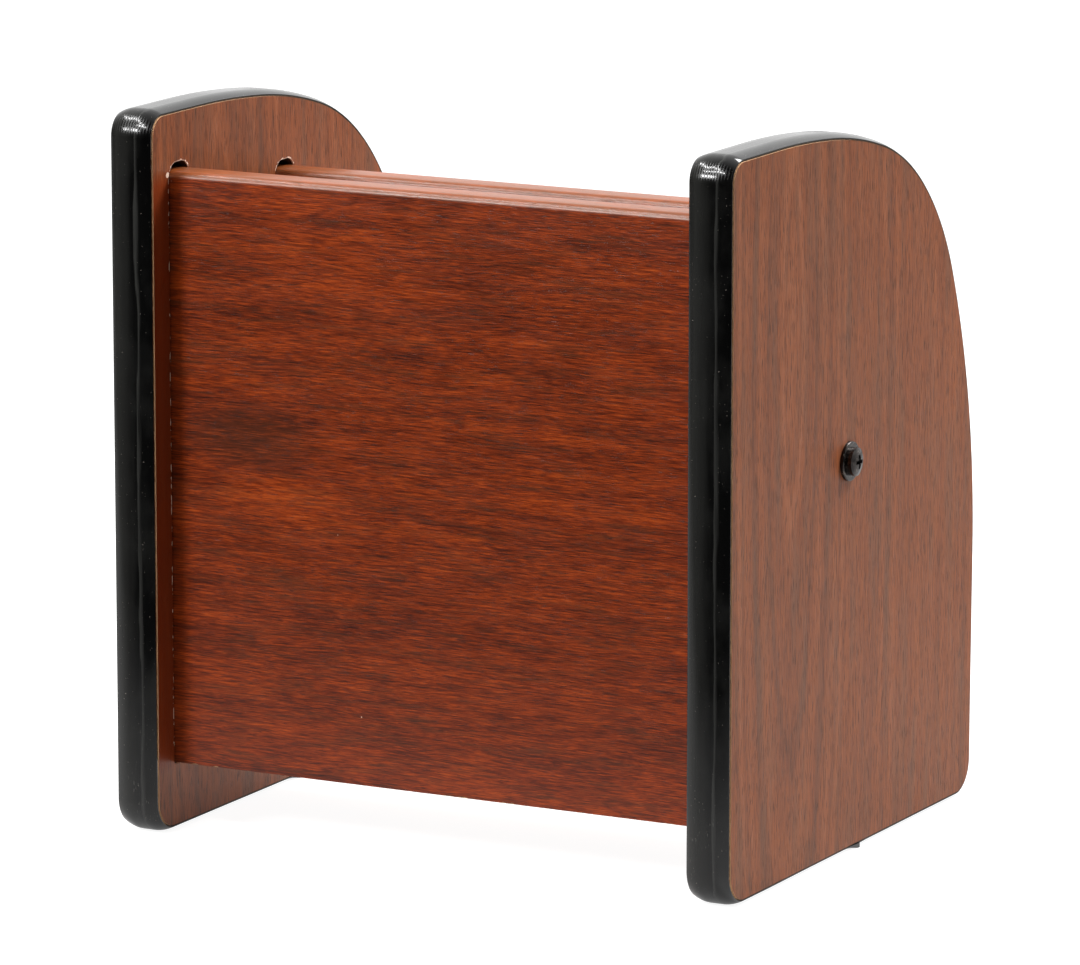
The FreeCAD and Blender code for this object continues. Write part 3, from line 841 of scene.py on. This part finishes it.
def surroundings():
    """Pure white to look at. As light: bright behind and above, dim in front."""
    world = bpy.data.worlds.new("studio")
    bpy.context.scene.world = world
    world.use_nodes = True
    tree = world.node_tree
    tree.nodes.clear()

    def add(kind, inputs, output=0, **settings):
        """One node, as a Recipe adds it, but in the world's own graph."""
        node = tree.nodes.new(kind)
        for key, value in settings.items():
            setattr(node, key, value)
        for key, value in inputs.items():
            if isinstance(value, bpy.types.NodeSocket):
                tree.links.new(value, node.inputs[key])
            else:
                node.inputs[key].default_value = value
        return node.outputs[output]

    way = add("ShaderNodeTexCoord", {}, "Generated")
    facing = add("ShaderNodeVectorMath", {0: way, 1: SWEEP_SIDE}, "Value", operation="DOT_PRODUCT")
    level = add("ShaderNodeMapRange", {
        "Value": facing, "From Min": -0.05, "From Max": 0.75, "To Min": 0.02, "To Max": 1.15})
    lit = add("ShaderNodeBackground", {"Color": WHITE, "Strength": level})
    white = add("ShaderNodeBackground", {"Color": WHITE, "Strength": 1.0})
    seen = add("ShaderNodeLightPath", {}, "Is Camera Ray")
    mixed = add("ShaderNodeMixShader", {0: seen, 1: lit, 2: white})
    tree.links.new(mixed, tree.nodes.new("ShaderNodeOutputWorld").inputs[0])


surroundings()


def soft_light(name, place, aim, width, height, power):
    """A rectangular area light at place that faces aim, its width level."""
    data = bpy.data.lights.new(name, "AREA")
    data.shape = "RECTANGLE"
    data.size, data.size_y, data.energy = width, height, power
    light = bpy.data.objects.new(name, data)
    light.location = place
    back = [p - a for p, a in zip(place, aim)]
    light.rotation_mode = "QUATERNION"
    light.rotation_quaternion = Vector(back).to_track_quat("Z", "Y")
    bpy.context.scene.collection.objects.link(light)
    return light


centre = (cad_box[0] + cad_box[1]) / 2
soft_light("strip_low", (-0.79, -1.50, 1.00), centre, 0.45, 0.22, 16.0)
soft_light("strip_middle", (-0.25, -1.22, 1.40), centre, 1.00, 0.07, 14.0)
soft_light("strip_high", (-0.75, -0.60, 1.65), centre, 1.70, 0.09, 20.0)
soft_light("back_right", (0.45, 0.80, 1.20), centre, 0.70, 0.60, 28.0)

# %% [markdown]
# ## The table
# A matt white board stands in for the table and runs into the sweep. The plastic and the foil
# mirror it, so what they mirror is set apart from what is looked at: there the table is palest
# round the stand and dims towards the front, as a lit table in a dim room does.

# %% Table
TABLE_FRONT = -0.20                 # round this Y the table fades into the dim room in front
TABLE_DIM = 0.02                    # how pale the table is in front of that
TABLE_PALE = 0.44                   # and behind it
TABLE_RADIUS = 6.0
TABLE_SIDES = 96


def table_finish():
    """To look at: white with a faint shadow. As light and in mirrors: matt, dim past the table's front."""
    r = Recipe("table_white")
    shown = r.finish(Base_Color=(0.30, 0.30, 0.30, 1.0), Roughness=1.0, Specular_IOR_Level=0.0,
                     Emission_Color=WHITE, Emission_Strength=0.93)
    axes = r.split()
    level = r.span(axes["Y"], TABLE_FRONT - 0.18, TABLE_FRONT + 0.16, TABLE_DIM, TABLE_PALE)
    grey = r.add("ShaderNodeCombineColor", {0: level, 1: level, 2: level})
    matt = r.add("ShaderNodeBsdfDiffuse", {"Color": grey})
    reach = r.add("ShaderNodeVectorMath", {0: r.place}, "Value", operation="LENGTH")
    glow = r.calc("MULTIPLY", r.span(reach, 0.10, 0.50, 0.55, 0.0), r.span(level, TABLE_DIM, TABLE_PALE))
    glow = r.calc("MULTIPLY", glow, r.add("ShaderNodeLightPath", {}, "Is Glossy Ray"))
    glow = r.calc("ADD", glow, r.span(reach, 0.06, 0.13, 1.00, 0.0))
    lit = r.add("ShaderNodeEmission", {"Strength": glow})
    lighting = r.add("ShaderNodeAddShader", {0: matt, 1: lit})
    seen = r.add("ShaderNodeLightPath", {}, "Is Camera Ray")
    mixed = r.add("ShaderNodeMixShader", {0: seen, 1: lighting, 2: r.shader.outputs[0]})
    r.feed(r.tree.nodes["Material Output"].inputs["Surface"], mixed)
    return shown


def table():
    """A pale disc that melts into the white sweep."""
    steps = np.linspace(0, 2 * math.pi, TABLE_SIDES, endpoint=False)
    rim = TABLE_RADIUS * np.stack([np.cos(steps), np.sin(steps), 0 * steps], -1)
    mesh = bpy.data.meshes.new("table")
    mesh.from_pydata(rim, [], [list(range(TABLE_SIDES))])
    floor = bpy.data.objects.new("table", mesh)
    bpy.context.scene.collection.objects.link(floor)
    mesh.materials.append(table_finish())
    print("table:", TABLE_SIDES, "sides")


table()

# %% [markdown]
# ## The camera
# A long lens stands well back, a little to the right of the front and a little above, so the
# ends' edges stay almost parallel and the front, one side and the tops show together.

# %% Camera
AZIMUTH = math.radians(27.765)      # the camera stands this far round to the right of the front
ELEVATION = math.radians(11.2715)
DISTANCE = 2.4985
AIM = centre + Vector((-2.06, -2.98, -8.41)) * MM

camera_data = bpy.data.cameras.new("camera")
camera_data.lens = 244.19
camera_data.sensor_width = 36
camera = bpy.data.objects.new("camera", camera_data)
away = Vector((math.sin(AZIMUTH) * math.cos(ELEVATION), -math.cos(AZIMUTH) * math.cos(ELEVATION),
               math.sin(ELEVATION)))
camera.location = AIM + away * DISTANCE
camera.rotation_mode = "QUATERNION"
camera.rotation_quaternion = away.to_track_quat("Z", "Y")
bpy.context.scene.collection.objects.link(camera)
bpy.context.scene.camera = camera
bpy.context.scene.view_settings.view_transform = "Standard"
print("camera at", tuple(round(v, 3) for v in camera.location))
